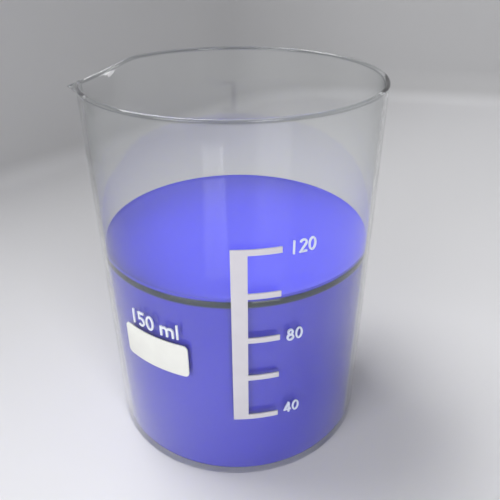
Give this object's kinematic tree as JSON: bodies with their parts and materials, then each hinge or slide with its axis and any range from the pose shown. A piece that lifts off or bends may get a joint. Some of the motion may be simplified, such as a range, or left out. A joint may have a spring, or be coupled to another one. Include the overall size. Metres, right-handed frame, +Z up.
{
  "type": "beaker",
  "caption": "Low-form glass laboratory beaker with a pouring spout, a beaded mouth, a white fired scale and marking panel, and a blue solution inside.",
  "frame": {"origin": "centre of the base's underside, on the axis of the round wall", "axes": "+Z up along the wall's axis, -X towards the pouring spout, with the scale on the -Y side, turned 17 degrees towards +X"},
  "size_m": [0.0664, 0.0603, 0.08],
  "materials": {
    "glass": "polished",
    "solution": "gloss",
    "scale_enamel": "satin",
    "panel_enamel": "matte",
    "numeral_enamel": "satin",
    "capacity_enamel": "satin"
  },
  "bodies": {
    "root": {"beaker_body": "glass", "blue_solution": "solution", "graduation_scale": "scale_enamel", "marking_panel": "panel_enamel", "numeral_120_1": "numeral_enamel", "numeral_120_2": "numeral_enamel", "numeral_120_0": "numeral_enamel", "numeral_80_8": "numeral_enamel", "numeral_80_0": "numeral_enamel", "numeral_40_4": "numeral_enamel", "numeral_40_0": "numeral_enamel", "capacity_1": "capacity_enamel", "capacity_5": "capacity_enamel", "capacity_0": "capacity_enamel", "capacity_m": "capacity_enamel", "capacity_l": "capacity_enamel"}
  },
  "joints": []
}
